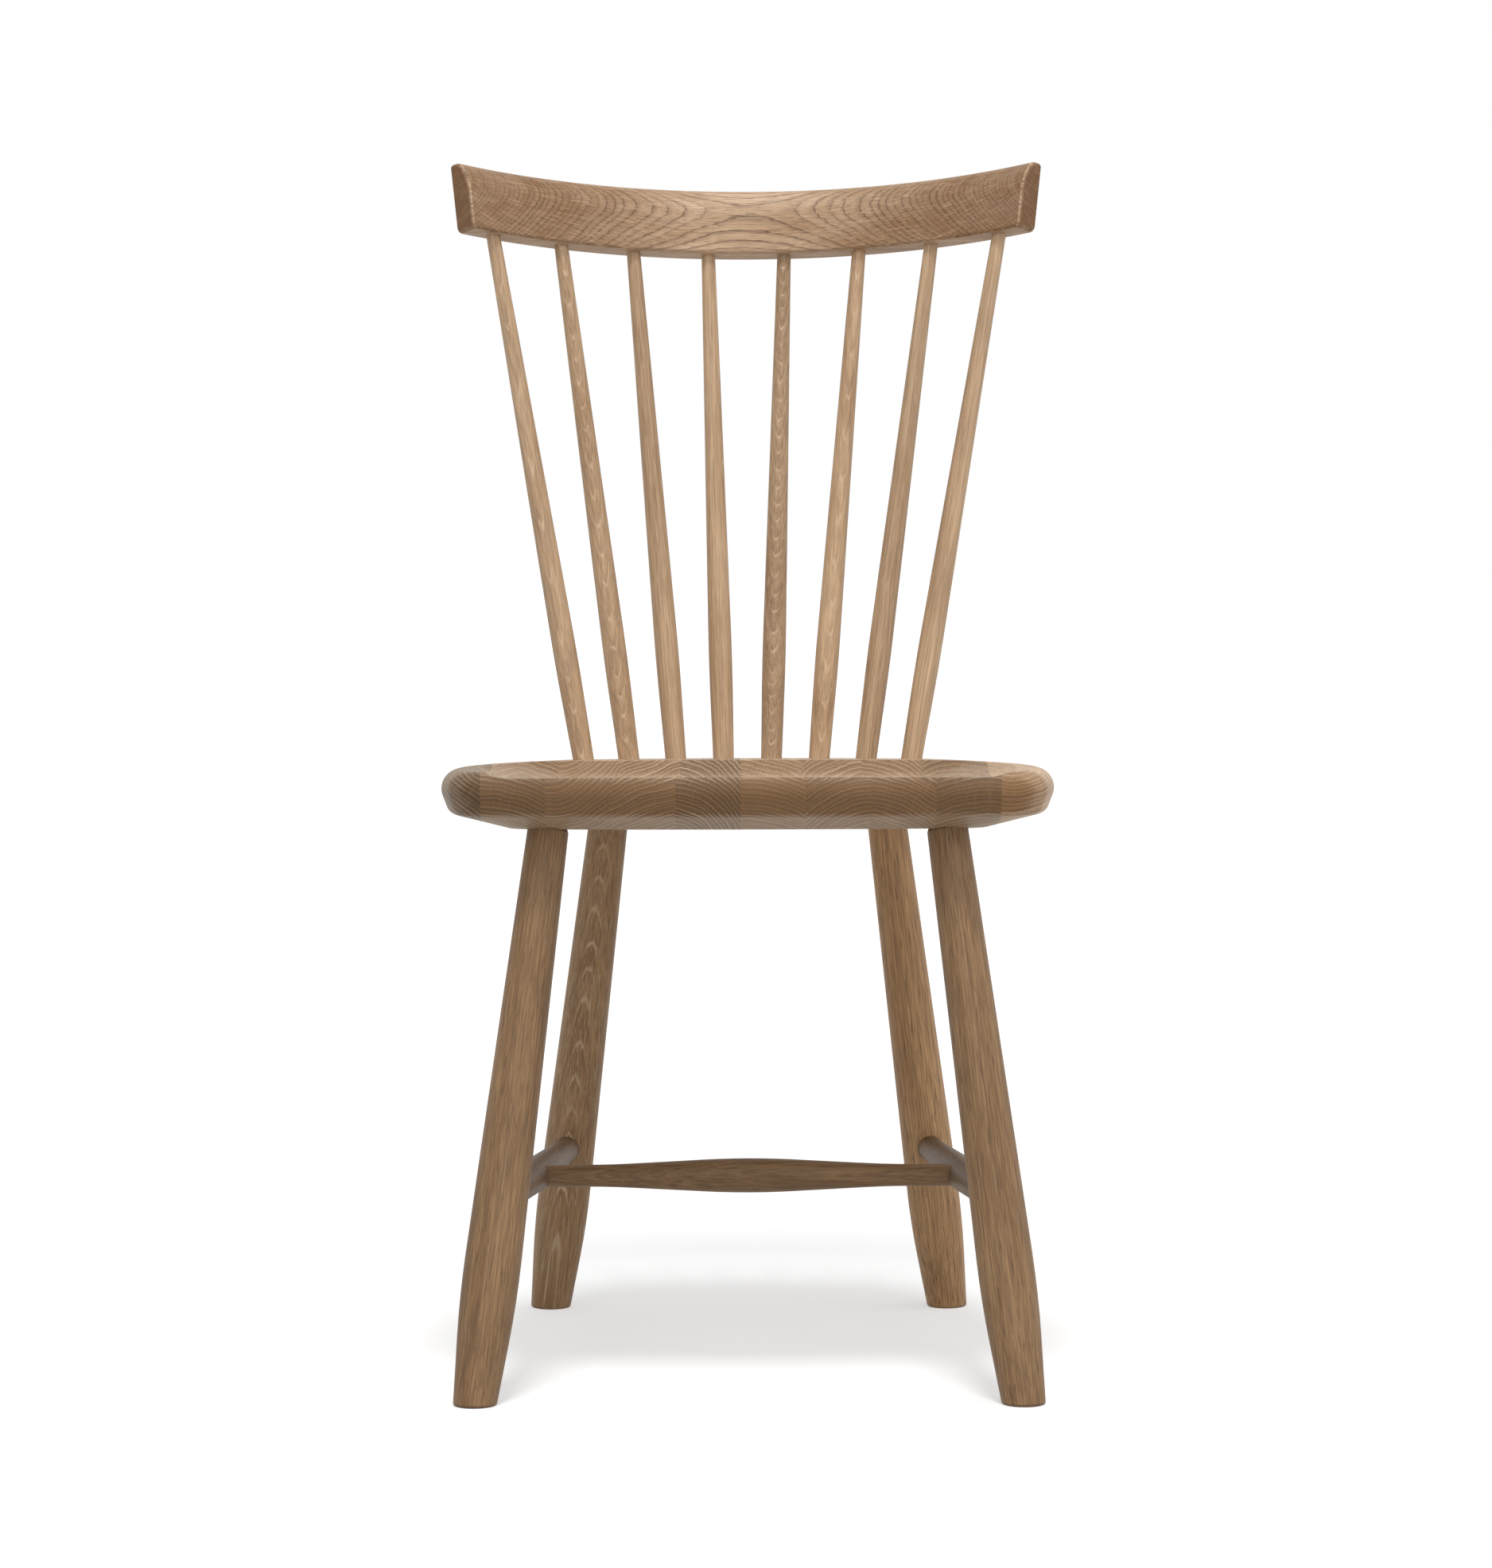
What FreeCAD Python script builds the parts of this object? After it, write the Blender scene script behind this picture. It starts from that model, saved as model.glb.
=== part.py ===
import FreeCAD, Part
import math
import os

# Windsor dining chair in oiled oak: a dished seat glued up from staves, four raked
# legs with an H stretcher, and eight spindles under a curved crest rail.
# Millimetres. X runs across the seat, the sitter faces -Y, Z is up, the floor is Z = 0
# and Y = 0 lies halfway between the front feet and the back of the crest rail.

V = FreeCAD.Vector
UP = V(0, 0, 1)
ACROSS = V(1, 0, 0)

# Seat board, in its own frame: the top plane is z = 0 and the rear hangs lower
SEAT_HEIGHT = 437.0
SEAT_TILT = 1.5
SEAT_THICKNESS = 42.0
SEAT_HALF_WIDTH = 227.0
SEAT_WIDEST_Y = -100.0
SEAT_FRONT_Y = -230.0
SEAT_REAR_Y = 172.0
SEAT_FRONT_RADIUS = 1000.0
SEAT_SIDE_RADIUS = 394.0
SEAT_REAR_RADIUS = 331.0
FRONT_CORNER_RADIUS = 41.0
REAR_CORNER_RADIUS = 40.0
EDGE_HEIGHT = 31.0
EDGE_SLOPE = 21.0
EDGE_ROUND = 14.0
ARRIS_ROUND = 8.0
BEVEL_WIDTH = 42.5
FLAT_FRONT_CORNER = 30.0
FLAT_REAR_CORNER = 12.0

# Hollow of the seat, which runs out over the front edge
DISH_DEPTH = 12.0
DISH_FRONT_DEPTH = 3.0
DISH_LOWEST_Y = 40.0
DISH_RIM = 12.0
DISH_REAR_RIM = 60.0
DISH_REAR_RADIUS = 500.0
DISH_CORNER_RADIUS = 62.0
DISH_WALL_RADIUS = 50.0

# Staves of the glued blank, which is a little wider than the seat sawn from it
STAVE_COUNT = 10
BLANK_SPARE = 4.0
STAVE_SHIFT = -5.0

# Legs: how far their sockets lie in from the seat's widest, front and rear lines, and
# how far the feet stand out from there, sideways and to the front or rear
FRONT_LEG_SIDE_INSET = 84.9
FRONT_LEG_INSET = 75.0
FRONT_LEG_SPLAY = 50.3
FRONT_LEG_RAKE = 84.0
REAR_LEG_SIDE_INSET = 121.9
REAR_LEG_INSET = 82.0
REAR_LEG_SPLAY = 50.4
REAR_LEG_RAKE = 109.0
LEG_FOOT_RADIUS = 15.3
LEG_SWELL_RADIUS = 20.4
LEG_SWELL_UP = 75.0
LEG_SWELL_BLEND = 700.0
LEG_TOP_RADIUS = 14.7
LEG_CHAMFER = 1.7
LEG_CHAMFER_LENGTH = 4.5
LEG_TENON_RADIUS = 10.0
LEG_TENON_LENGTH = 22.0
FOOT_ROUND = 2.0

# Stretchers: heights where their axes meet the leg axes
SIDE_FRONT_HEIGHT = 138.5
SIDE_REAR_HEIGHT = 131.0
SIDE_END_RADIUS = 9.75
SIDE_MIDDLE_RADIUS = 12.6
SIDE_STRAIGHT = 60.0
SIDE_BLEND = 900.0
SIDE_TENON_LENGTH = 12.0
CROSS_BEHIND_FRONT_FEET = 199.0
CROSS_END_RADIUS = 8.1
CROSS_MIDDLE_RADIUS = 13.5
CROSS_SWELL_HALF = 103.0
CROSS_BLEND = 650.0
CROSS_TENON_LENGTH = 8.0

# Spindles: the feet stand on an arc of the seat, the heads on the middle of the rail
SPINDLE_COUNT = 8
SPINDLE_REAR_INSET = 30.0
SPINDLE_BASE_RADIUS = 300.0
SPINDLE_BASE_PITCH = 36.9
SPINDLE_END_MARGIN = 25.8
SPINDLE_BASE_DIAMETER = 16.0
SPINDLE_SWELL_DIAMETER = 18.3
SPINDLE_SWELL_UP = 76.0
SPINDLE_SWELL_BLEND = 2000.0
SPINDLE_TOP_DIAMETER = 10.6
SPINDLE_SEAT_DEPTH = 24.0
SPINDLE_RAIL_DEPTH = 26.0

# Crest rail: its back is part of an upright drum, leaned backwards as a whole
RAIL_LEAN = 13.0
RAIL_ABOVE_SEAT = 381.9
RAIL_BEHIND_SPINDLES = 100.5
RAIL_BACK_RADIUS = 354.0
RAIL_THICKNESS = 22.5
RAIL_HEIGHT = 53.3
RAIL_HALF_SPAN = 222.5
RAIL_END_FLARE = 8.0
RAIL_FACE_HEIGHT = 38.0
RAIL_TOP_WIDTH = 12.5
RAIL_FACE_ROUND = 35.0
RAIL_TOP_ROUND = 12.0
RAIL_BACK_ROUND = 3.0
RAIL_RIM_ROUND = 2.5
RAIL_END_CORNER = 5.0

# Glue gap round every tenon, and past its end
GLUE_GAP = 0.05
SOCKET_SPARE = 1.0

# Length by which cutting bodies pass the wood that they cut
CUT_OVER = 60.0

# How near its place an edge has to be when it is picked out for rounding
PICK = 1.0


def mirrored(point):
    return V(-point.x, point.y, point.z)


def unit(vector):
    return V(vector).normalize()


def rounded_path(corners, closed):
    """Lines and tangent arcs along corners given as (point, radius)."""
    count = len(corners)
    pieces = []
    for index, (point, radius) in enumerate(corners):
        at_end = not closed and index in (0, count - 1)
        if at_end or radius == 0:
            pieces.append((point, None, point))
            continue
        to_last = unit(corners[index - 1][0] - point)
        to_next = unit(corners[(index + 1) % count][0] - point)
        half_angle = to_last.getAngle(to_next) / 2
        reach = radius / math.tan(half_angle)
        crown = radius / math.sin(half_angle) - radius
        middle = point + unit(to_last + to_next) * crown
        pieces.append((point + to_last * reach, middle, point + to_next * reach))
    edges = []
    for index, (start, middle, end) in enumerate(pieces):
        if middle is not None:
            edges.append(Part.Arc(start, middle, end).toShape())
        last = index == count - 1
        if not last or closed:
            following = pieces[(index + 1) % count][0]
            if end.distanceToPoint(following) > 1e-6:
                edges.append(Part.LineSegment(end, following).toShape())
    return Part.Wire(edges)


def turned(corners):
    """A solid turned about Z from corners given as (height, radius, blend)."""
    outline = [(V(0, 0, corners[0][0]), 0)]
    outline += [(V(radius, 0, height), blend) for height, radius, blend in corners]
    outline += [(V(0, 0, corners[-1][0]), 0)]
    face = Part.Face(rounded_path(outline, True))
    return face.revolve(V(0, 0, 0), UP, 360)


def aimed(shape, start, end):
    """A shape made along Z from the origin, moved to run from start towards end."""
    moved = shape.copy()
    moved.Placement = FreeCAD.Placement(start, FreeCAD.Rotation(UP, end - start))
    return moved


def bore(mouth, inward, radius, depth):
    """A hole bored to a depth below its mouth, begun well outside the wood."""
    run = unit(inward)
    start = mouth - run * CUT_OVER
    return Part.makeCylinder(radius + GLUE_GAP, CUT_OVER + depth, start, run)


def socket(mouth, inward, radius, depth):
    """The hole for a tenon, bored a little deeper than the tenon is long."""
    return bore(mouth, inward, radius, depth + SOCKET_SPARE)


# Places shared by the pieces that meet there

def seat_frame():
    return FreeCAD.Placement(V(0, 0, SEAT_HEIGHT), FreeCAD.Rotation(ACROSS, -SEAT_TILT))


def on_seat(x, y, z):
    return seat_frame().multVec(V(x, y, z))


def seat_normal():
    return seat_frame().Rotation.multVec(UP)


def leg_axis(row, side):
    """Foot centre on the floor and top centre on the underside of the seat."""
    if row == "front":
        x = SEAT_HALF_WIDTH - FRONT_LEG_SIDE_INSET
        y = SEAT_FRONT_Y + FRONT_LEG_INSET
        foot = V(x + FRONT_LEG_SPLAY, y - FRONT_LEG_RAKE, 0)
    else:
        x = SEAT_HALF_WIDTH - REAR_LEG_SIDE_INSET
        y = SEAT_REAR_Y - REAR_LEG_INSET
        foot = V(x + REAR_LEG_SPLAY, y + REAR_LEG_RAKE, 0)
    top = on_seat(x, y, -SEAT_THICKNESS)
    if side == "left":
        return mirrored(foot), mirrored(top)
    return foot, top


def leg_point(row, side, height):
    foot, top = leg_axis(row, side)
    return foot + (top - foot) * (height / top.z)


def shoulder_depth(foot, top):
    """How deep a leg's square shoulder is let into the seat along the leg's axis: as
    deep as brings the low side of the shoulder level with the underside."""
    lean = (top - foot).getAngle(seat_normal())
    return (LEG_TOP_RADIUS - LEG_CHAMFER) * math.tan(lean)


def side_axis(side):
    """Where the axis of a side stretcher meets the front and the rear leg axes."""
    front = leg_point("front", side, SIDE_FRONT_HEIGHT)
    rear = leg_point("rear", side, SIDE_REAR_HEIGHT)
    return front, rear


def cross_point(side):
    """Where the cross stretcher's axis meets the axis of a side stretcher."""
    front, rear = side_axis(side)
    y = leg_axis("front", side)[0].y + CROSS_BEHIND_FRONT_FEET
    share = (y - front.y) / (rear.y - front.y)
    return front + (rear - front) * share


def spindle_line():
    """Y of the middle of the arc on which the spindles stand, in the seat's own frame."""
    return SEAT_REAR_Y - SPINDLE_REAR_INSET


def rail_frame():
    """Origin at the middle of the rail's lower back edge, Y to the back, Z up the back."""
    origin = V(0, spindle_line() + RAIL_BEHIND_SPINDLES, SEAT_HEIGHT + RAIL_ABOVE_SEAT)
    return FreeCAD.Placement(origin, FreeCAD.Rotation(ACROSS, -RAIL_LEAN))


def rail_half_turn():
    """Angle in plan from the middle of the rail to its end at the lower back edge."""
    return math.asin(RAIL_HALF_SPAN / RAIL_BACK_RADIUS)


def spindle_axis(index):
    """Centre of a spindle's foot on the seat and of its head under the crest rail."""
    outermost = (SPINDLE_COUNT - 1) / 2
    step = index - outermost
    turn = step * SPINDLE_BASE_PITCH / SPINDLE_BASE_RADIUS
    back = spindle_line() - SPINDLE_BASE_RADIUS * (1 - math.cos(turn))
    foot = on_seat(SPINDLE_BASE_RADIUS * math.sin(turn), back, 0)
    middle_radius = RAIL_BACK_RADIUS - RAIL_THICKNESS / 2
    turn = step / outermost * (rail_half_turn() - SPINDLE_END_MARGIN / middle_radius)
    x = middle_radius * math.sin(turn)
    y = middle_radius * math.cos(turn) - RAIL_BACK_RADIUS
    return foot, rail_frame().multVec(V(x, y, 0))


# Seat

def seat_circles(inset):
    """Centre and radius of the arcs along the front, the right side and the rear."""
    front = (V(0, SEAT_FRONT_Y + SEAT_FRONT_RADIUS, 0), SEAT_FRONT_RADIUS - inset)
    side = (V(SEAT_HALF_WIDTH - SEAT_SIDE_RADIUS, SEAT_WIDEST_Y, 0), SEAT_SIDE_RADIUS - inset)
    rear = (V(0, SEAT_REAR_Y - SEAT_REAR_RADIUS, 0), SEAT_REAR_RADIUS - inset)
    return front, side, rear


def corner_circle(first, second, radius, towards):
    """Centre of the arc that rounds the corner where two circles cross."""
    centre, first_reach = first[0], first[1] - radius
    second_reach = second[1] - radius
    apart = second[0] - centre
    along = (first_reach ** 2 - second_reach ** 2 + apart.Length ** 2) / (2 * apart.Length)
    aside = math.sqrt(first_reach ** 2 - along ** 2)
    direction = unit(apart)
    normal = V(-direction.y, direction.x, 0)
    options = [centre + direction * along + normal * aside * sign for sign in (1, -1)]
    return min(options, key=towards.distanceToPoint)


def touch(circle, inner):
    """Point where a circle touches a smaller one inside it, from the smaller's centre."""
    return circle[0] + unit(inner - circle[0]) * circle[1]


def arc_between(centre, start, end):
    middle = centre + unit((start - centre) + (end - centre)) * (start - centre).Length
    return Part.Arc(start, middle, end).toShape()


def seat_outline(inset, front_corner, rear_corner, level):
    """Outline of the seat, drawn in by inset, at a level of the seat's own frame."""
    front, side, rear = seat_circles(inset)
    front_centre = corner_circle(front, side, front_corner, V(SEAT_HALF_WIDTH, SEAT_FRONT_Y, 0))
    rear_centre = corner_circle(side, rear, rear_corner, V(SEAT_HALF_WIDTH, SEAT_REAR_Y, 0))
    a = touch(front, front_centre)
    b = touch(side, front_centre)
    c = touch(side, rear_centre)
    d = touch(rear, rear_centre)
    edges = [
        arc_between(front[0], mirrored(a), a),
        arc_between(front_centre, a, b),
        arc_between(side[0], b, c),
        arc_between(rear_centre, c, d),
        arc_between(rear[0], d, mirrored(d)),
        arc_between(mirrored(rear_centre), mirrored(d), mirrored(c)),
        arc_between(mirrored(side[0]), mirrored(c), mirrored(b)),
        arc_between(mirrored(front_centre), mirrored(b), mirrored(a)),
    ]
    wire = Part.Wire(edges)
    wire.translate(V(0, 0, level))
    return wire


def edges_at_level(shape, level):
    return [edge for edge in shape.Edges
            if edge.BoundBox.ZMin > level - PICK and edge.BoundBox.ZMax < level + PICK]


def seat_blank():
    """The seat before it is hollowed: undercut edge, bevelled underside, rounded rims."""
    undercut = EDGE_HEIGHT * math.tan(math.radians(EDGE_SLOPE))
    top = seat_outline(0, FRONT_CORNER_RADIUS, REAR_CORNER_RADIUS, 0)
    arris = seat_outline(undercut, FRONT_CORNER_RADIUS - undercut,
                         REAR_CORNER_RADIUS - undercut, -EDGE_HEIGHT)
    flat = seat_outline(undercut + BEVEL_WIDTH, FLAT_FRONT_CORNER,
                        FLAT_REAR_CORNER, -SEAT_THICKNESS)
    blank = Part.makeLoft([top, arris, flat], True, True)
    blank = blank.makeFillet(EDGE_ROUND, edges_at_level(blank, 0))
    return blank.makeFillet(ARRIS_ROUND, edges_at_level(blank, -EDGE_HEIGHT))


def seat_hollow():
    """The body of wood that the hollow takes out of the seat."""
    side = seat_circles(DISH_RIM)[1]
    rear_y = SEAT_REAR_Y - DISH_REAR_RIM
    rear = (V(0, rear_y - DISH_REAR_RADIUS, 0), DISH_REAR_RADIUS)
    centre = corner_circle(side, rear, DISH_CORNER_RADIUS, V(SEAT_HALF_WIDTH, rear_y, 0))
    a = V(side[0].x + side[1], SEAT_WIDEST_Y, 0)
    b = touch(side, centre)
    c = touch(rear, centre)
    ahead = V(0, SEAT_FRONT_Y - SEAT_WIDEST_Y - CUT_OVER, 0)
    edges = [
        Part.LineSegment(a + ahead, a).toShape(),
        arc_between(side[0], a, b),
        arc_between(centre, b, c),
        arc_between(rear[0], c, mirrored(c)),
        arc_between(mirrored(centre), mirrored(c), mirrored(b)),
        arc_between(mirrored(side[0]), mirrored(b), mirrored(a)),
        Part.LineSegment(mirrored(a), mirrored(a + ahead)).toShape(),
        Part.LineSegment(mirrored(a + ahead), a + ahead).toShape(),
    ]
    walls = Part.Face(Part.Wire(edges)).extrude(UP * 2 * CUT_OVER)
    walls.translate(-UP * CUT_OVER)
    reach = DISH_LOWEST_Y - SEAT_FRONT_Y
    rise = DISH_DEPTH - DISH_FRONT_DEPTH
    sweep_radius = (reach ** 2 + rise ** 2) / (2 * rise)
    start = V(-SEAT_HALF_WIDTH, DISH_LOWEST_Y, sweep_radius - DISH_DEPTH)
    drum = Part.makeCylinder(sweep_radius, 2 * SEAT_HALF_WIDTH, start, ACROSS)
    hollow = walls.common(drum)
    foremost = SEAT_FRONT_Y - CUT_OVER
    floor_edges = [edge for edge in hollow.Edges
                   if edge.BoundBox.ZMax < CUT_OVER / 2
                   and edge.BoundBox.YMax > foremost + PICK]
    return hollow.makeFillet(DISH_WALL_RADIUS, floor_edges)


def seat_board():
    """The whole board, hollowed and bored, before it is parted into its staves."""
    board = seat_blank().cut(seat_hollow())
    board.Placement = seat_frame()
    bores = []
    for row in ("front", "rear"):
        for side in ("left", "right"):
            foot, top = leg_axis(row, side)
            bores.append(bore(top, top - foot, LEG_TOP_RADIUS, shoulder_depth(foot, top)))
            bores.append(socket(top, top - foot, LEG_TENON_RADIUS, LEG_TENON_LENGTH))
    for index in range(SPINDLE_COUNT):
        foot, head = spindle_axis(index)
        bores.append(socket(foot, foot - head, SPINDLE_BASE_DIAMETER / 2, SPINDLE_SEAT_DEPTH))
    return board.cut(bores)


def seat_staves():
    board = seat_board()
    box = board.BoundBox
    width = (2 * SEAT_HALF_WIDTH + BLANK_SPARE) / STAVE_COUNT
    staves = []
    for index in range(STAVE_COUNT):
        left = STAVE_SHIFT + (index - STAVE_COUNT / 2) * width
        right = left + width
        if index == 0:
            left = box.XMin - CUT_OVER
        if index == STAVE_COUNT - 1:
            right = box.XMax + CUT_OVER
        corner = V(left, box.YMin - CUT_OVER, box.ZMin - CUT_OVER)
        slab = Part.makeBox(right - left, box.YLength + 2 * CUT_OVER,
                            box.ZLength + 2 * CUT_OVER, corner)
        staves.append(board.common(slab))
    return staves


# Legs and stretchers

def leg(row, side):
    foot, top = leg_axis(row, side)
    length = (top - foot).Length
    shoulder = length + shoulder_depth(foot, top)
    taper = (LEG_SWELL_RADIUS - LEG_FOOT_RADIUS) / LEG_SWELL_UP
    spare = LEG_FOOT_RADIUS
    body = turned([
        (-spare, LEG_FOOT_RADIUS - taper * spare, 0),
        (LEG_SWELL_UP, LEG_SWELL_RADIUS, LEG_SWELL_BLEND),
        (shoulder - LEG_CHAMFER_LENGTH, LEG_TOP_RADIUS, 0),
        (shoulder, LEG_TOP_RADIUS - LEG_CHAMFER, 0),
        (shoulder, LEG_TENON_RADIUS, 0),
        (length + LEG_TENON_LENGTH, LEG_TENON_RADIUS, 0),
    ])
    body = aimed(body, foot, top)
    floor_corner = foot - V(CUT_OVER, CUT_OVER, CUT_OVER)
    body = body.cut(Part.makeBox(2 * CUT_OVER, 2 * CUT_OVER, CUT_OVER, floor_corner))
    body = body.makeFillet(FOOT_ROUND, edges_at_level(body, 0))
    front, rear = side_axis(side)
    near, far = (front, rear) if row == "front" else (rear, front)
    return body.cut(socket(near, near - far, SIDE_END_RADIUS, SIDE_TENON_LENGTH))


def side_stretcher(side):
    front, rear = side_axis(side)
    length = (rear - front).Length
    body = turned([
        (-SIDE_TENON_LENGTH, SIDE_END_RADIUS, 0),
        (SIDE_STRAIGHT, SIDE_END_RADIUS, SIDE_BLEND),
        (length / 2, SIDE_MIDDLE_RADIUS, SIDE_BLEND),
        (length - SIDE_STRAIGHT, SIDE_END_RADIUS, SIDE_BLEND),
        (length + SIDE_TENON_LENGTH, SIDE_END_RADIUS, 0),
    ])
    body = aimed(body, front, rear)
    here = cross_point(side)
    there = mirrored(here)
    return body.cut(socket(here, here - there, CROSS_END_RADIUS, CROSS_TENON_LENGTH))


def cross_stretcher():
    left, right = cross_point("left"), cross_point("right")
    length = (right - left).Length
    half = length / 2
    body = turned([
        (-CROSS_TENON_LENGTH, CROSS_END_RADIUS, 0),
        (half - CROSS_SWELL_HALF, CROSS_END_RADIUS, CROSS_BLEND),
        (half, CROSS_MIDDLE_RADIUS, CROSS_BLEND),
        (half + CROSS_SWELL_HALF, CROSS_END_RADIUS, CROSS_BLEND),
        (length + CROSS_TENON_LENGTH, CROSS_END_RADIUS, 0),
    ])
    return aimed(body, left, right)


# Back

def spindle(index):
    foot, head = spindle_axis(index)
    length = (head - foot).Length
    body = turned([
        (-SPINDLE_SEAT_DEPTH, SPINDLE_BASE_DIAMETER / 2, 0),
        (0, SPINDLE_BASE_DIAMETER / 2, 0),
        (SPINDLE_SWELL_UP, SPINDLE_SWELL_DIAMETER / 2, SPINDLE_SWELL_BLEND),
        (length, SPINDLE_TOP_DIAMETER / 2, 0),
        (length + SPINDLE_RAIL_DEPTH, SPINDLE_TOP_DIAMETER / 2, 0),
    ])
    return aimed(body, foot, head)


def rail_section():
    """Section of the crest rail: Y = 0 is the back, -Y the sitter's side, Z up the back."""
    corners = [
        (V(0, 0, 0), 0),
        (V(0, -RAIL_THICKNESS, 0), 0),
        (V(0, -RAIL_THICKNESS, RAIL_FACE_HEIGHT), RAIL_FACE_ROUND),
        (V(0, -RAIL_TOP_WIDTH, RAIL_HEIGHT), RAIL_TOP_ROUND),
        (V(0, 0, RAIL_HEIGHT), RAIL_BACK_ROUND),
    ]
    return Part.Face(rounded_path(corners, True))


def rail_end_cutter(side):
    """Everything past the end of the rail: a radial face that flares outwards upwards."""
    size = RAIL_BACK_RADIUS
    block = Part.makeBox(size, size, 2 * size, V(0, -size / 2, -size))
    block.rotate(V(0, 0, 0), V(0, 1, 0), RAIL_END_FLARE)
    block.rotate(V(0, -RAIL_BACK_RADIUS, 0), UP, -math.degrees(rail_half_turn()))
    if side == "left":
        return block.mirror(V(0, 0, 0), ACROSS)
    return block


def rail_rim(rail):
    """The closed rim that runs along the underside and up round both end faces."""
    skirt = []
    for face in rail.Faces:
        surface = face.Surface
        if surface.TypeId == "Part::GeomPlane" and face.normalAt(0, 0).z < 0:
            skirt.append(face)
        if surface.TypeId == "Part::GeomCylinder" and surface.Radius < RAIL_THICKNESS:
            skirt.append(face)
    return Part.Shell(skirt).getFreeEdges().Edges


def crest_rail():
    half_turn = math.degrees(rail_half_turn()) + RAIL_END_FLARE
    centre = V(0, -RAIL_BACK_RADIUS, 0)
    section = rail_section()
    section.rotate(centre, UP, -half_turn)
    rail = section.revolve(centre, UP, 2 * half_turn)
    rail = rail.cut([rail_end_cutter("left"), rail_end_cutter("right")])
    corners = [edge for edge in rail.Edges
               if edge.BoundBox.ZMax < PICK and edge.BoundBox.XLength < RAIL_THICKNESS]
    rail = rail.makeFillet(RAIL_END_CORNER, corners)
    rail = rail.makeFillet(RAIL_RIM_ROUND, rail_rim(rail))
    rail.Placement = rail_frame()
    bores = []
    for index in range(SPINDLE_COUNT):
        foot, head = spindle_axis(index)
        bores.append(socket(head, head - foot, SPINDLE_TOP_DIAMETER / 2, SPINDLE_RAIL_DEPTH))
    return rail.cut(bores)


def export(shape, name):
    solids = shape.Solids
    print(name, len(solids), "valid", shape.isValid(), "volume", round(shape.Volume))
    shape.exportStep("parts/" + name + ".step")


def main():
    os.makedirs("parts", exist_ok=True)
    for number, stave in enumerate(seat_staves(), 1):
        export(stave, "seat_stave_%d" % number)
    for side in ("left", "right"):
        export(leg("front", side), "front_leg_" + side)
        export(leg("rear", side), "rear_leg_" + side)
        export(side_stretcher(side), "side_stretcher_" + side)
    export(cross_stretcher(), "cross_stretcher")
    for index in range(SPINDLE_COUNT):
        export(spindle(index), "spindle_%d" % (index + 1))
    export(crest_rail(), "crest_rail")


main()
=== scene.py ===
import math

import bpy
from mathutils import Matrix, Vector


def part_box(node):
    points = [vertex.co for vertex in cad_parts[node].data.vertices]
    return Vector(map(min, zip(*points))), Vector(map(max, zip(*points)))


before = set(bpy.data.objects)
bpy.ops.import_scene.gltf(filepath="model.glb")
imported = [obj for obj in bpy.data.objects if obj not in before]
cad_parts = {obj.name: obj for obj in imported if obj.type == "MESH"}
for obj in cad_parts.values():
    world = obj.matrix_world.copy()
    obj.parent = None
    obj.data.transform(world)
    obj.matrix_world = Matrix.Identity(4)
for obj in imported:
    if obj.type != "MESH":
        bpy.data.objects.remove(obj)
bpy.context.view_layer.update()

# Windsor dining chair in oak. The wood is a solid texture: every piece is cut from a log
# of its own, with rings round the pith and fibres along it, so that arcs, flames and end
# grain come out where the shape cuts the rings.
# Metres. X runs across the seat, the sitter faces -Y and Z is up.

# Camera, fitted to the feet, the seat's front edge and the crest rail
IMAGE_LONG_SIDE = 1972
FOCAL_PIXELS = 6538.4
SENSOR = 36.0
CAMERA_PLACE = Vector((-0.0012, -3.850, 0.6441))
CAMERA_PITCH = 3.3053
CAMERA_ROLL = 0.15

# Light: an even sky and three soft lamps, too far away to fall off across the floor.
# lean is a lamp's angle from straight overhead, and turn is its angle in plan from the
# camera's side to the right.
SKY_STRENGTH = 0.42
TOP_LAMP = dict(strength=1.50, lean=21.0, turn=0.0, spread=12.0)
FRONT_LAMP = dict(strength=0.70, lean=61.0, turn=0.0, spread=50.0)
SIDE_LAMP = dict(strength=0.50, lean=65.0, turn=75.0, spread=60.0)
FLOOR_COLOR = 0.62
FLOOR_GLOW = 0.46
FLOOR_SIZE = 60.0


def srgb(red, green, blue):
    """Linear colour from display values of 0 to 255."""
    values = (red / 255, green / 255, blue / 255)
    return tuple(v / 12.92 if v <= 0.04045 else ((v + 0.055) / 1.055) ** 2.4 for v in values)


# Looks of the wood: pale and dark are the two tones of the ground along the grain, end
# is the ground where the grain is cut across, and line and end_line are a ring's colour.
# ring is a ring's width at FULL_GROWTH from the pith, crowding is how much narrower the
# rings are inside that, and width is the share of a ring that its line takes before it
# fades. waves and jags are how far the rings stray, and turn is the angle from one ray
# to the next. The rest are strengths from 0 to 1: tail is that of a line's fading part,
# late that of the dark wood at the end of a ring, and tips how much weaker the lines are
# off the flames' tips, where the surface doesn't lie flat on the rings.
FULL_GROWTH = 0.085
CREST = dict(pale=srgb(214, 185, 156), dark=srgb(164, 129, 93), line=srgb(76, 48, 26),
             end=srgb(112, 74, 36), end_line=srgb(158, 120, 78), ring=0.0020, crowding=0.3,
             width=0.22, waves=0.005, jags=0.0010, turn=0.008,
             rings=0.80, tail=0.50, tips=0.0,
             late=0.20, fibres=0.30, pores=0.30, rays=0.42)
SEAT = dict(pale=srgb(191, 165, 137), dark=srgb(163, 136, 108), line=srgb(207, 179, 149),
            end=srgb(119, 88, 56), end_line=srgb(154, 122, 90), ring=0.0029, crowding=0.0,
            width=0.26, waves=0.009, jags=0.0014, turn=0.006,
            rings=0.60, tail=0.0, tips=0.0,
            late=0.80, fibres=0.35, pores=0.25, rays=0.16)
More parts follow.
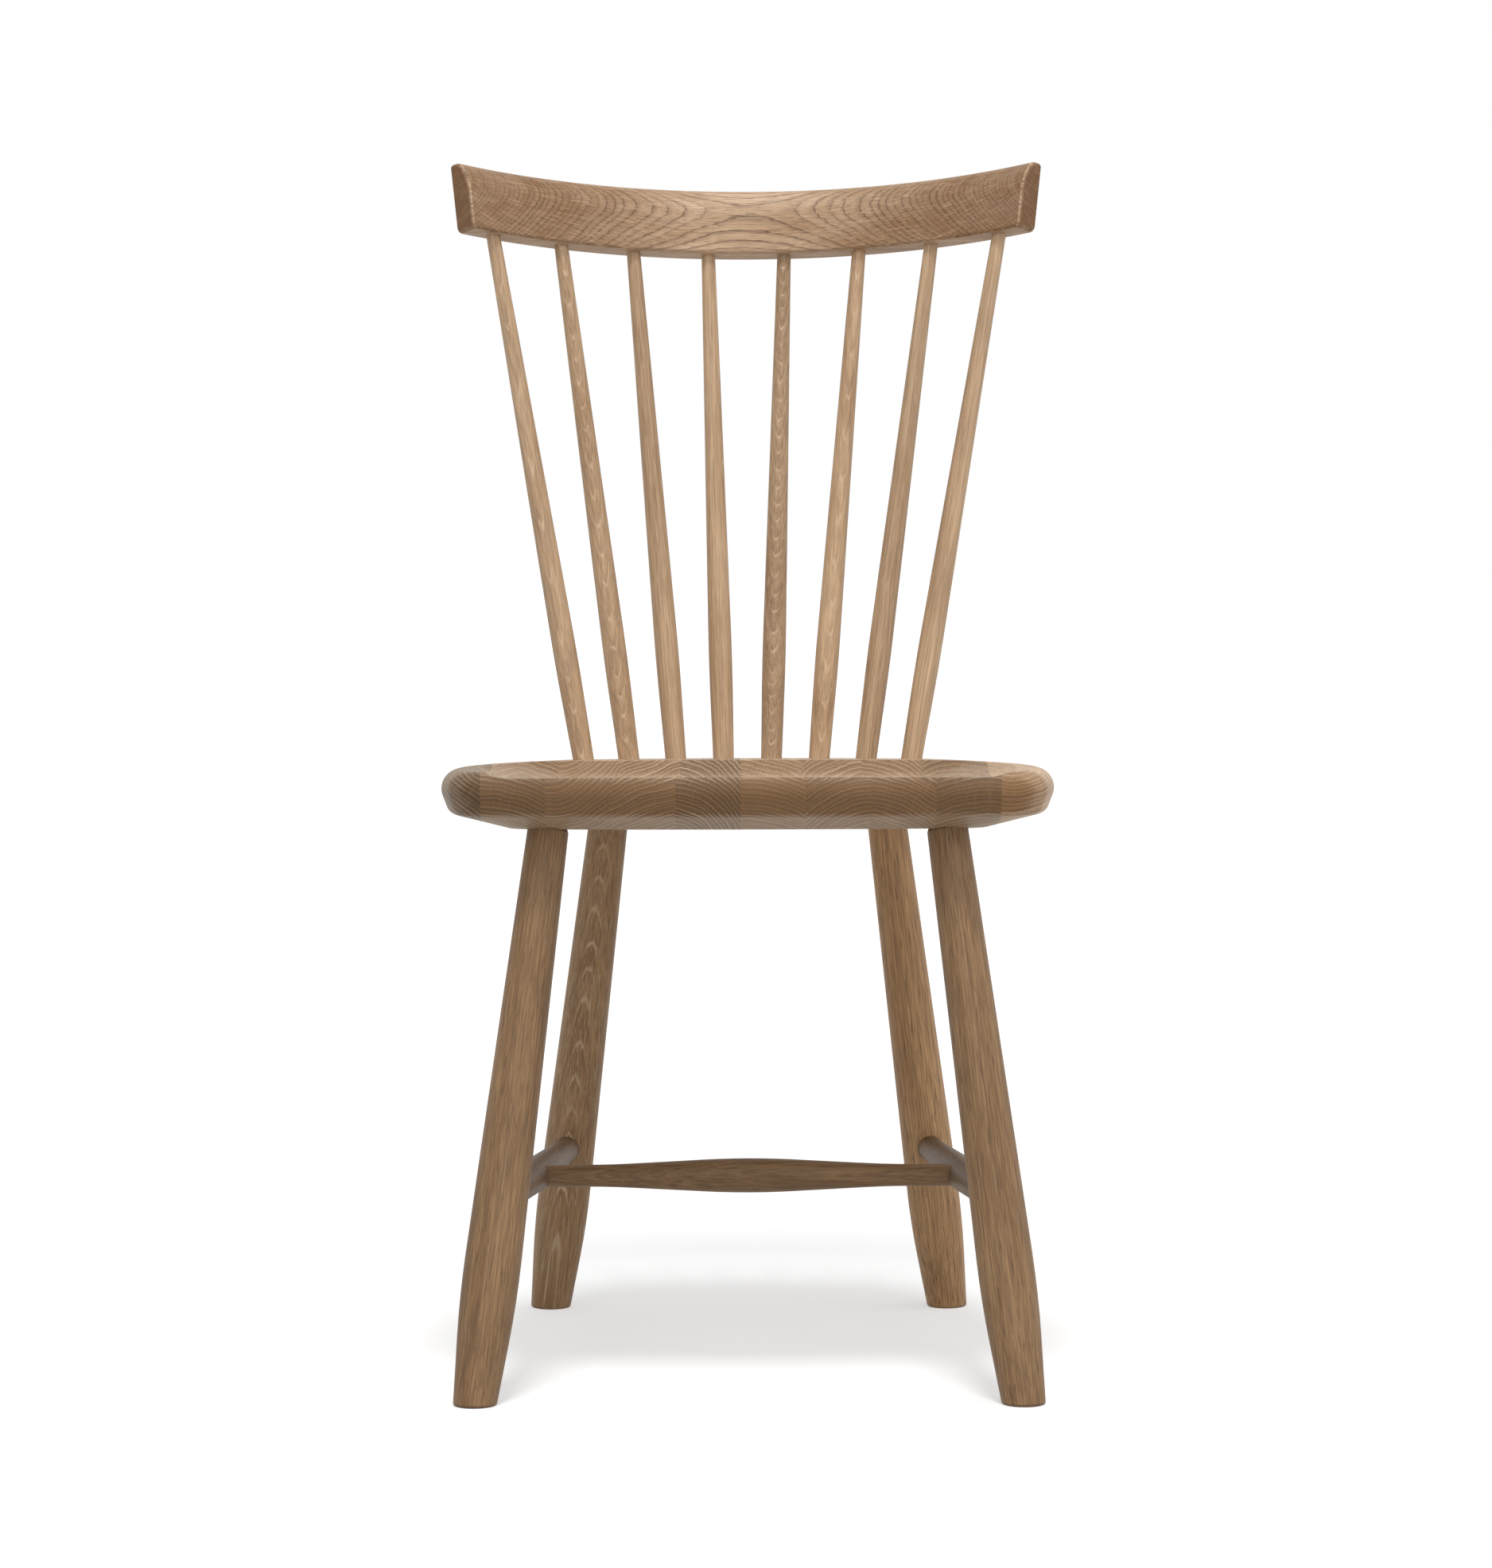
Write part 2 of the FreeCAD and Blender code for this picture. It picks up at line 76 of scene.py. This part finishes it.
TURNED = dict(pale=srgb(158, 126, 91), dark=srgb(124, 94, 64), line=srgb(84, 56, 34),
              end=srgb(100, 72, 50), end_line=srgb(140, 108, 80), ring=0.0024, crowding=0.0,
              width=0.25, waves=0.004, jags=0.0008, turn=0.012,
              rings=0.45, tail=0.3, tips=0.0,
              late=0.3, fibres=0.60, pores=0.40, rays=0.15)
FLAMED = dict(TURNED, line=srgb(216, 190, 158), tail=0.0, tips=0.85, rings=0.6)
# The spindles' look is paler than the legs' as painted light: it stands in for the light they
# catch above the seat.
SPINDLE_PAINTED_PALE = dict(FLAMED, pale=srgb(200, 170, 137), dark=srgb(164, 132, 101),
               line=srgb(226, 198, 168), end=srgb(130, 98, 68), ring=0.0022, width=0.20,
               late=0.35, fibres=0.50)


# Marks in the wood: how wide and how long they are in metres, or for sheets that stand
# out from the pith, how long and how far out. offset keeps their patterns apart, and the
# rest is the noise's own.
WAVE = dict(across=0.040, along=0.140, offset=0.0)
PORE = dict(across=0.0010, along=0.0110, offset=2.0, detail=1.0)
DASH = dict(across=0.0009, along=0.0150, offset=4.0, detail=0.0)
FIBRE = dict(across=0.0013, along=0.055, offset=9.0, detail=3.0, roughness=0.6)
CLOUD = dict(across=0.022, along=0.120, offset=11.0)
JAG = dict(along=0.012, out=0.015, offset=5.0, detail=1.0)
RAY = dict(along=0.010, out=0.022, offset=3.0, detail=1.0)

# The rings' width drifts so often in a metre, and by so many rings
DRIFTS_PER_METRE = 120.0
DRIFT = 1.6

# Surface: the fibres' share in roughness, and the relief of the grain
ROUGHNESS = 0.46
FIBRE_ROUGHNESS = 0.16
SPECULAR = 0.3
BUMP_STRENGTH = 0.3
BUMP_DEPTH = 0.0002


def scaled(color, factor):
    return tuple(v * factor for v in color)


def toned_with_painted_light(look, tone):
    """A look whose ground is scaled by a piece's tone: partly the wood's own tone, partly painted
    light and shade.
    """
    return dict(look, **{part: scaled(look[part], tone) for part in ("pale", "dark", "end")})


class Tree:
    """Short calls for building a node tree."""

    def __init__(self, material):
        material.use_nodes = True
        self.tree = material.node_tree
        self.tree.nodes.clear()

    def node(self, kind, **settings):
        made = self.tree.nodes.new(kind)
        for name, value in settings.items():
            setattr(made, name, value)
        return made

    def put(self, value, socket):
        if isinstance(value, bpy.types.NodeSocket):
            self.tree.links.new(value, socket)
        else:
            socket.default_value = value

    def math(self, operation, a, b=0.0, c=0.0, clamp=False):
        made = self.node("ShaderNodeMath", operation=operation, use_clamp=clamp)
        for value, socket in zip((a, b, c), made.inputs):
            self.put(value, socket)
        return made.outputs[0]

    def times(self, a, b):
        return self.math("MULTIPLY", a, b)

    def times_plus(self, a, b, c):
        return self.math("MULTIPLY_ADD", a, b, c)

    def parts(self, vector):
        made = self.node("ShaderNodeSeparateXYZ")
        self.put(vector, made.inputs[0])
        return made.outputs

    def whole(self, x, y, z):
        made = self.node("ShaderNodeCombineXYZ")
        for value, socket in zip((x, y, z), made.inputs):
            self.put(value, socket)
        return made.outputs[0]

    def noise(self, x, y, z, w=None, detail=2.0, roughness=0.5):
        """Smooth noise with a pitch of about 1, of three or four coordinates."""
        made = self.node("ShaderNodeTexNoise", noise_dimensions="3D" if w is None else "4D")
        self.put(self.whole(x, y, z), made.inputs["Vector"])
        if w is not None:
            self.put(w, made.inputs["W"])
        made.inputs["Scale"].default_value = 1.0
        made.inputs["Detail"].default_value = detail
        made.inputs["Roughness"].default_value = roughness
        return made.outputs["Fac"]

    def ramp(self, value, low, high, to_low=0.0, to_high=1.0):
        made = self.node("ShaderNodeMapRange", interpolation_type="SMOOTHSTEP")
        for number, socket in zip((value, low, high, to_low, to_high), made.inputs):
            self.put(number, socket)
        return made.outputs[0]

    def mix(self, share, a, b, blend="MIX"):
        made = self.node("ShaderNodeMix", data_type="RGBA", blend_type=blend)
        self.put(share, made.inputs[0])
        for value, socket in ((a, made.inputs[6]), (b, made.inputs[7])):
            self.put(value if isinstance(value, bpy.types.NodeSocket) else (*value, 1), socket)
        return made.outputs[2]


class Log:
    """Places inside the log: x and y from the pith, z along the grain."""

    def __init__(self, t, pith, grain, seed):
        self.t = t
        self.seed = seed
        pose = grain.to_track_quat("Z", "Y").to_euler()
        spot = t.node("ShaderNodeTexCoord")
        self.x, self.y, self.z = self.inside(spot.outputs["Object"], pith, pose)
        square = t.times_plus(self.x, self.x, t.times(self.y, self.y))
        self.radius = t.math("SQRT", square)

        # How squarely the surface cuts the fibres, and how flat it lies on the rings
        right, up, along = self.inside(spot.outputs["Normal"], (0, 0, 0), pose)
        self.cut = t.math("ABSOLUTE", along)
        outward = t.times_plus(right, self.x, t.times(up, self.y))
        self.flat = t.math("ABSOLUTE", t.math("DIVIDE", outward, self.radius))

    def inside(self, vector, origin, pose):
        """A vector of the object in the log's own axes."""
        t = self.t
        place = t.node("ShaderNodeMapping", vector_type="TEXTURE")
        t.put(vector, place.inputs["Vector"])
        place.inputs["Location"].default_value = origin
        place.inputs["Rotation"].default_value = pose
        return t.parts(place.outputs[0])

    def noise(self, across, along, offset, **settings):
        """Noise with grains so many metres wide and so long."""
        t = self.t
        return t.noise(t.times(self.x, 1 / across), t.times(self.y, 1 / across),
                       t.times_plus(self.z, 1 / along, self.seed + offset), **settings)

    def fan(self, turn, along, out, offset, **settings):
        """Noise in sheets that stand out from the pith: pitch round it in radians."""
        t = self.t
        cos = t.math("DIVIDE", self.x, self.radius)
        sin = t.math("DIVIDE", self.y, self.radius)
        return t.noise(t.times(cos, 1 / turn), t.times(sin, 1 / turn),
                       t.times_plus(self.z, 1 / along, self.seed + offset),
                       t.times(self.radius, 1 / out), **settings)


def ring_count(t, log, look):
    """How many rings lie between the pith and a place, with waves and jags."""
    wave = t.math("SUBTRACT", log.noise(**WAVE), 0.5)
    jag = t.math("SUBTRACT", log.fan(look["turn"] * 2, **JAG), 0.5)
    bent = t.times_plus(wave, look["waves"], log.radius)
    bent = t.times_plus(jag, look["jags"], bent)
    drift = t.noise(t.times_plus(bent, DRIFTS_PER_METRE, log.seed), 0.0, 0.0, detail=1.0)
    power = 1 - look["crowding"]
    grown = t.math("POWER", t.times(bent, 1 / FULL_GROWTH), power)
    return t.times_plus(drift, DRIFT, t.times(grown, FULL_GROWTH / look["ring"] / power))


def ring_marks(t, log, look, count):
    """The line that starts each ring, and the dark wood that ends it."""
    phase = t.math("FRACT", count)
    width = look["width"]
    rise = t.ramp(phase, 0.0, width * 0.4)
    core = t.ramp(phase, width * 0.6, width, 1.0, 0.0)
    tail = t.times(t.ramp(phase, width * 0.6, 0.6, 1.0, 0.0), look["tail"])
    line = t.times(rise, t.math("MAXIMUM", core, tail))
    late = t.ramp(phase, 0.30, 0.98)

    # Each ring has its own strength, pores break its line, and flames show their tips
    own = t.node("ShaderNodeTexWhiteNoise", noise_dimensions="1D")
    t.put(t.math("FLOOR", count), own.inputs["W"])
    line = t.times(line, t.times_plus(own.outputs["Value"], 0.6, 0.55))
    late = t.times(late, t.times_plus(own.outputs["Value"], -0.6, 1.0))
    line = t.times(line, t.ramp(log.noise(**PORE), 0.25, 0.60, 0.55, 1.0))
    line = t.times(line, t.ramp(log.flat, 0.88, 0.99, 1 - look["tips"], 1.0))
    return line, late


def ground_color(t, log, look, count, end, late, fibre):
    """The wood between its lines: changes of tone, dark ends of rings, and fibres."""
    band = t.noise(t.times_plus(count, 0.45, log.seed), 0.0, 0.0, detail=1.0)
    cloud = t.times_plus(log.noise(**CLOUD), 1.6, -0.3)
    tone = t.math("ADD", cloud, t.times_plus(band, 1.2, -0.6), clamp=True)
    along = t.mix(tone, look["pale"], look["dark"])
    across = t.mix(t.times_plus(band, 1.6, -0.4), scaled(look["end"], 1.15),
                   scaled(look["end"], 0.85))
    color = t.mix(end, along, across)
    color = t.mix(t.times(late, look["late"]), color, t.mix(end, look["dark"], look["end"]))
    color = t.mix(t.times(t.times(late, end), look["late"]), color, scaled(look["end"], 0.6))
    streak = t.ramp(fibre, 0.28, 0.72, 1 - look["fibres"] * 0.5, 1 + look["fibres"] * 0.4)
    return t.mix(1.0, color, t.whole(streak, streak, streak), "MULTIPLY")


def marked_color(t, log, look, color, end, line, dash):
    """The ground with its ring lines, light and dark rays, and open pores."""
    ring_color = t.mix(t.ramp(log.cut, 0.75, 0.92), look["line"], look["end_line"])
    color = t.mix(t.times(line, look["rings"]), color, ring_color)
    fan = log.fan(look["turn"], **RAY)
    shown = t.ramp(log.cut, 0.05, 0.40, look["rays"] * 0.3, look["rays"])
    ray_color = t.mix(end, scaled(look["pale"], 1.25), look["end_line"])
    color = t.mix(t.times(t.ramp(fan, 0.55, 0.68), shown), color, ray_color)
    dim = t.times(t.ramp(fan, 0.45, 0.32), t.times(shown, 0.8))
    color = t.mix(dim, color, scaled(look["end"], 0.8))
    pores = t.times(t.times(dash, look["pores"]), t.math("SUBTRACT", 1.0, end))
    return t.mix(pores, color, scaled(look["line"], 0.75))


def oak(name, pith, grain, seed, look):
    """Oak cut from a log whose pith runs through a point along the grain."""
    material = bpy.data.materials.new("oak_" + name)
    t = Tree(material)
    log = Log(t, pith, grain, seed)
    count = ring_count(t, log, look)
    line, late = ring_marks(t, log, look, count)
    fibre = log.noise(**FIBRE)
    dash = t.ramp(log.noise(**DASH), 0.60, 0.72)

    # Share of end grain, over half of it already where the cut only slants. That much at slants
    # is partly painted highlight: it keeps flat-cut faces, such as the crest's middle, paler than
    # slanting ones.
    slant_grain_and_painted_sheen = t.times(t.ramp(log.cut, 0.02, 0.45), 0.6)
    end = t.math("ADD", slant_grain_and_painted_sheen, t.times(t.ramp(log.cut, 0.60, 0.85), 0.4))

    color = ground_color(t, log, look, count, end, late, fibre)
    color = marked_color(t, log, look, color, end, line, dash)
    height = t.math("ADD", t.times(line, -0.6), t.math("SUBTRACT", t.times(fibre, 0.5), dash))
    bump = t.node("ShaderNodeBump")
    bump.inputs["Strength"].default_value = BUMP_STRENGTH
    bump.inputs["Distance"].default_value = BUMP_DEPTH
    t.put(height, bump.inputs["Height"])

    shader = t.node("ShaderNodeBsdfPrincipled")
    shader.inputs["Specular IOR Level"].default_value = SPECULAR
    t.put(color, shader.inputs["Base Color"])
    t.put(t.times_plus(fibre, FIBRE_ROUGHNESS, ROUGHNESS), shader.inputs["Roughness"])
    t.put(bump.outputs[0], shader.inputs["Normal"])
    t.put(shader.outputs[0], t.node("ShaderNodeOutputMaterial").inputs["Surface"])
    return material


def dress(node, pith, grain, seed, look):
    """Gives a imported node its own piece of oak."""
    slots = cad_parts[node].data.materials
    slots.clear()
    slots.append(oak(node, pith, grain, seed, look))


def middle(node):
    low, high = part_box(node)
    return (low + high) / 2


# Pieces. Each seed gives a piece a pattern of its own.

RAIL_LEAN = 13.0
RAIL_HEIGHT = 0.0533
RAIL_PITH_UP = 0.062
RAIL_PITH_AHEAD = 0.170
RAIL_SEED = 2.0


def dress_crest():
    """A straight plank whose pith runs ahead of the rail, just above its top."""
    low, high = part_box("crest_rail")
    lean = Matrix.Rotation(math.radians(-RAIL_LEAN), 3, "X")
    leaning_back = (lean @ Vector((0, 0, RAIL_HEIGHT))).y
    foot = Vector((0, high.y - leaning_back, low.z))
    pith = foot + lean @ Vector((0, -RAIL_PITH_AHEAD, RAIL_PITH_UP))
    dress("crest_rail", pith, Vector((1, 0, 0)), RAIL_SEED, CREST)


# Staves from left to right: millimetres of the pith right of and above the stave's middle, tone
# of the ground, partly the wood's own and partly painted light and shade, and strength of the
# ring lines
# The first stave's low tone and the last one's high tone partly stand in for more light from the
# right, as painted light and shade.
STAVES = ((-50, -70, 0.56, 0.5), (-25, -90, 0.88, 0.6), (-22, 49, 1.00, 0.5),
          (60, -140, 1.00, 0.8), (-30, -38, 0.78, 1.0), (-30, -120, 1.08, 0.5),
          (28, -54, 1.00, 0.6), (-35, -75, 0.97, 0.7), (15, -90, 0.86, 0.5),
          (-10, 60, 1.30, 0.5))


STAVE_SEED_STEP = 3.1


def dress_seat():
    for index, (right, above, tone, rings) in enumerate(STAVES):
        node = "seat_stave_%d" % (index + 1)
        pith = middle(node) + Vector((right, 0, above)) / 1000
        look = dict(toned_with_painted_light(SEAT, tone), rings=rings)
        dress(node, pith, Vector((0, 1, 0)), index * STAVE_SEED_STEP, look)


END_SLICE = 0.004


def axis_of(node):
    """Lowest and highest end of a turned piece's axis, from the ends of its mesh."""
    places = [v.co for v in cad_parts[node].data.vertices]
    low = min(p.z for p in places)
    high = max(p.z for p in places)
    bottom = [p for p in places if p.z < low + END_SLICE]
    top = [p for p in places if p.z > high - END_SLICE]
    return sum(bottom, Vector()) / len(bottom), sum(top, Vector()) / len(top)


def dress_turned(node, seed, left, ahead, tilt, look):
    """The pith runs to the left and ahead of the piece's middle, and tilts ahead."""
    start, end = axis_of(node)
    grain = (end - start).normalized()
    side = grain.cross(Vector((0, 1, 0))).normalized()
    front = grain.cross(side)
    pith = (start + end) / 2 + side * left + front * ahead
    dress(node, pith, (grain + front * tilt).normalized(), seed, look)


# Spindles from left to right: metres of the pith to the left and ahead, how far it tilts ahead
# for each metre up, and tone, partly the wood's own and partly painted light and shade
SPINDLES = ((0.006, 0.060, -0.060, 1.00), (-0.002, 0.070, -0.110, 1.00),
            (0.060, 0.010, 0.020, 0.96), (-0.050, 0.020, 0.010, 1.05),
            (0.004, 0.070, -0.170, 0.88), (-0.003, 0.060, -0.080, 1.10),
            (0.055, 0.020, 0.010, 0.96), (-0.060, 0.015, 0.010, 1.02))
SPINDLE_SEED_STEP = 1.7


def dress_spindles():
    for index, (left, ahead, tilt, tone) in enumerate(SPINDLES):
        dress_turned("spindle_%d" % (index + 1), index * SPINDLE_SEED_STEP, left, ahead, tilt,
                     toned_with_painted_light(SPINDLE_PAINTED_PALE, tone))


# Legs: look, metres of the pith to the left and ahead, its tilt, and tone, which holds painted
# light and shade as well as the wood's own tone
LEGS = {"front_leg_left": (TURNED, 0.060, 0.020, 0.010, 0.95),
        "front_leg_right": (TURNED, -0.070, 0.010, 0.010, 0.96),
        # The rear legs' high tones, most of all the right one's, are painted light: they make
        # those legs paler for the light on them, not for paler wood.
        "rear_leg_left": (FLAMED, 0.004, 0.070, 0.080, 1.15),
        "rear_leg_right": (TURNED, 0.060, 0.030, 0.010, 1.75)}
LEG_SEED = 20
LEG_SEED_STEP = 2.3


def dress_legs():
    for index, (node, (look, left, ahead, tilt, tone)) in enumerate(LEGS.items()):
        dress_turned(node, LEG_SEED + index * LEG_SEED_STEP, left, ahead, tilt, toned_with_painted_light(look, tone))


# Stretchers: the pith's place from a stretcher's middle, its direction, tone and seed. The low
# tones are painted shade: they darken the stretchers for the shade under the seat.
SIDE_PITH = Vector((0.02, 0, 0.05))
SIDE_GRAIN = Vector((0, 1, 0))
SIDE_PAINTED_SHADE_TONE = 0.58
SIDE_SEEDS = {"side_stretcher_left": 20, "side_stretcher_right": 21}
CROSS_PITH = Vector((0, -0.06, 0.01))
CROSS_GRAIN = Vector((1, 0.08, 0)).normalized()
CROSS_PAINTED_SHADE_TONE = 0.80
CROSS_SEED = 31


def dress_stretchers():
    for node, seed in SIDE_SEEDS.items():
        dress(node, middle(node) + SIDE_PITH, SIDE_GRAIN, seed, toned_with_painted_light(TURNED, SIDE_PAINTED_SHADE_TONE))
    dress("cross_stretcher", middle("cross_stretcher") + CROSS_PITH, CROSS_GRAIN, CROSS_SEED,
          toned_with_painted_light(TURNED, CROSS_PAINTED_SHADE_TONE))


# Scene

def link(name, data):
    made = bpy.data.objects.new(name, data)
    bpy.context.scene.collection.objects.link(made)
    return made


def make_camera():
    data = bpy.data.cameras.new("view")
    data.sensor_width = SENSOR
    data.lens = FOCAL_PIXELS * SENSOR / IMAGE_LONG_SIDE
    camera = link("view", data)
    pitch = Matrix.Rotation(math.radians(90 - CAMERA_PITCH), 4, "X")
    roll = Matrix.Rotation(math.radians(-CAMERA_ROLL), 4, "Z")
    camera.matrix_world = Matrix.Translation(CAMERA_PLACE) @ pitch @ roll
    bpy.context.scene.camera = camera


def seen(t):
    """1 on rays from the camera and on rays that gloss and glass send on, else 0."""
    path = t.node("ShaderNodeLightPath")
    rays = t.math("MAXIMUM", path.outputs["Is Camera Ray"], path.outputs["Is Glossy Ray"])
    return t.math("MAXIMUM", rays, path.outputs["Is Transmission Ray"])


def make_sky():
    """Even light, and plain white where it is looked at."""
    world = bpy.data.worlds.new("studio")
    bpy.context.scene.world = world
    t = Tree(world)
    sky = t.node("ShaderNodeBackground")
    sky.inputs["Color"].default_value = (1, 1, 1, 1)
    t.put(t.ramp(seen(t), 0, 1, SKY_STRENGTH, 1.0), sky.inputs["Strength"])
    t.put(sky.outputs[0], t.node("ShaderNodeOutputWorld").inputs["Surface"])


def make_floor():
    """A pale floor that looks white and keeps the chair's shadow."""
    half = FLOOR_SIZE / 2
    mesh = bpy.data.meshes.new("floor")
    mesh.from_pydata([(-half, -half, 0), (half, -half, 0), (half, half, 0), (-half, half, 0)],
                     [], [(0, 1, 2, 3)])
    material = bpy.data.materials.new("floor")
    t = Tree(material)
    matt = t.node("ShaderNodeBsdfDiffuse")
    matt.inputs["Color"].default_value = (FLOOR_COLOR, FLOOR_COLOR, FLOOR_COLOR, 1)
    glow = t.node("ShaderNodeEmission")
    t.put(t.times(seen(t), FLOOR_GLOW), glow.inputs["Strength"])
    both = t.node("ShaderNodeAddShader")
    t.put(matt.outputs[0], both.inputs[0])
    t.put(glow.outputs[0], both.inputs[1])
    t.put(both.outputs[0], t.node("ShaderNodeOutputMaterial").inputs["Surface"])
    mesh.materials.append(material)
    link("floor", mesh)


def make_lamp(name, strength, lean, turn, spread):
    data = bpy.data.lights.new(name, "SUN")
    data.energy = strength
    data.angle = math.radians(spread)
    link(name, data).rotation_euler = (math.radians(lean), 0, math.radians(turn))


dress_crest()
dress_seat()
dress_spindles()
dress_legs()
dress_stretchers()
make_camera()
make_sky()
make_floor()
make_lamp("top_lamp", **TOP_LAMP)
make_lamp("front_lamp", **FRONT_LAMP)
make_lamp("side_lamp", **SIDE_LAMP)
bpy.context.scene.view_settings.view_transform = "Standard"
